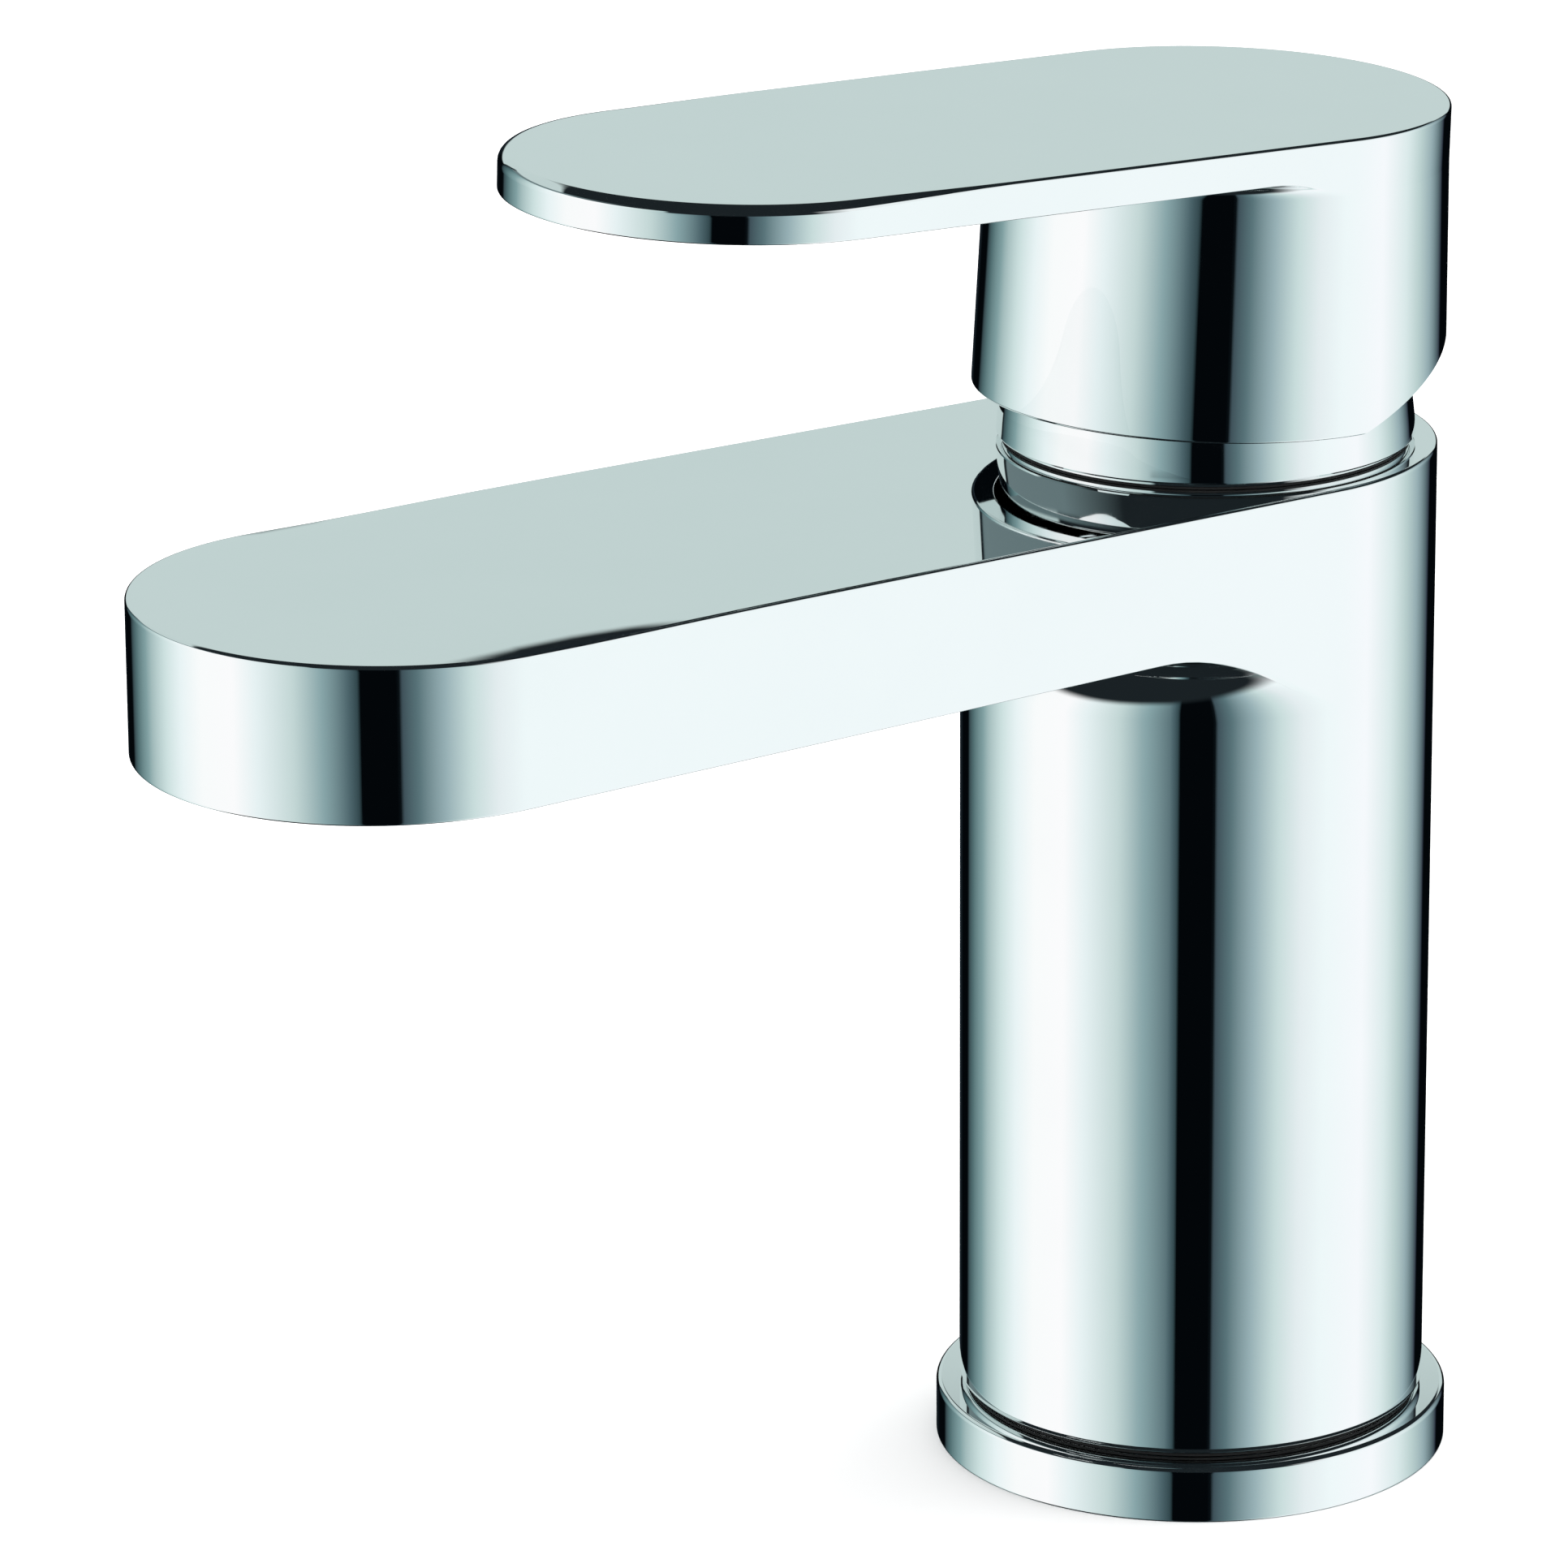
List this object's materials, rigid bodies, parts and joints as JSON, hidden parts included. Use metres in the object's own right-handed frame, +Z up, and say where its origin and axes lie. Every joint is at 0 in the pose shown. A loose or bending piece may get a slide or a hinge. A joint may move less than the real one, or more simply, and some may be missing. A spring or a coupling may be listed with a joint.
{
  "type": "bathroom mixer faucet",
  "caption": "Single-lever basin mixer: round column, flat round-ended spout and matching flat lever on a round hub, with a ceramic disc cartridge and a flush aerator.",
  "frame": {"origin": "centre of the base's underside, on the column's axis, where the deck hole's centre lies", "axes": "+Z up; -Y along the spout and the lever, towards the user; the tap is symmetric about X = 0"},
  "size_m": [0.0494, 0.1376, 0.1358],
  "materials": {
    "body_chrome": "mirror-polished chrome plate on cast brass",
    "ring_chrome": "mirror-polished chrome plate on turned brass",
    "trim_chrome": "mirror-polished chrome plate on turned brass",
    "lever_chrome": "mirror-polished chrome plate on cast zinc",
    "aerator_chrome": "bright chrome plate, turned",
    "nut_brass": "machined brass",
    "steel": "turned stainless steel",
    "housing_plastic": "moulded off-white plastic",
    "carrier_plastic": "moulded blue-grey plastic",
    "insert_plastic": "moulded light grey plastic",
    "ceramic": "lapped alumina ceramic",
    "rubber": "matt black seal rubber"
  },
  "bodies": {
    "faucet_body": {"body": "body_chrome", "base_ring": "ring_chrome", "base_gasket": "rubber", "foot_seal": "rubber", "trim_ring": "trim_chrome", "cartridge_nut": "nut_brass", "cartridge_housing": "housing_plastic", "housing_o_ring": "rubber", "cartridge_base": "housing_plastic", "port_seal_hot": "rubber", "port_seal_cold": "rubber", "disc_seal_hot": "rubber", "disc_seal_cold": "rubber", "disc_seal_outlet": "rubber", "fixed_disc": "ceramic", "aerator_shell": "aerator_chrome", "aerator_screen": "insert_plastic", "aerator_regulator": "insert_plastic", "aerator_washer": "rubber"},
    "turret": {"turret": "carrier_plastic", "pivot_pin": "steel"},
    "lever": {"spindle": "steel", "lever_handle": "lever_chrome", "grub_screw": "steel", "screw_plug": "insert_plastic"},
    "disc_stack": {"moving_disc": "ceramic", "disc_carrier": "carrier_plastic"}
  },
  "joints": [
    {"name": "temperature_turn", "type": "hinge", "parent": "faucet_body", "child": "turret", "pos_m": [0, 0.0008, 0.098], "axis": [0, 0, 1], "range_deg": [-50, 50]},
    {"name": "lever_lift", "type": "hinge", "parent": "turret", "child": "lever", "pos_m": [0, 0.0008, 0.098], "axis": [-1, 0, 0], "range_deg": [0, 22]},
    {"name": "disc_slide", "type": "slide", "parent": "turret", "child": "disc_stack", "axis": [0, -1, 0], "range_m": [0, 0.0046]}
  ],
  "couplings": [
    {"joint": "disc_slide", "follows": "lever_lift", "m_per_rad": 0.01162}
  ]
}
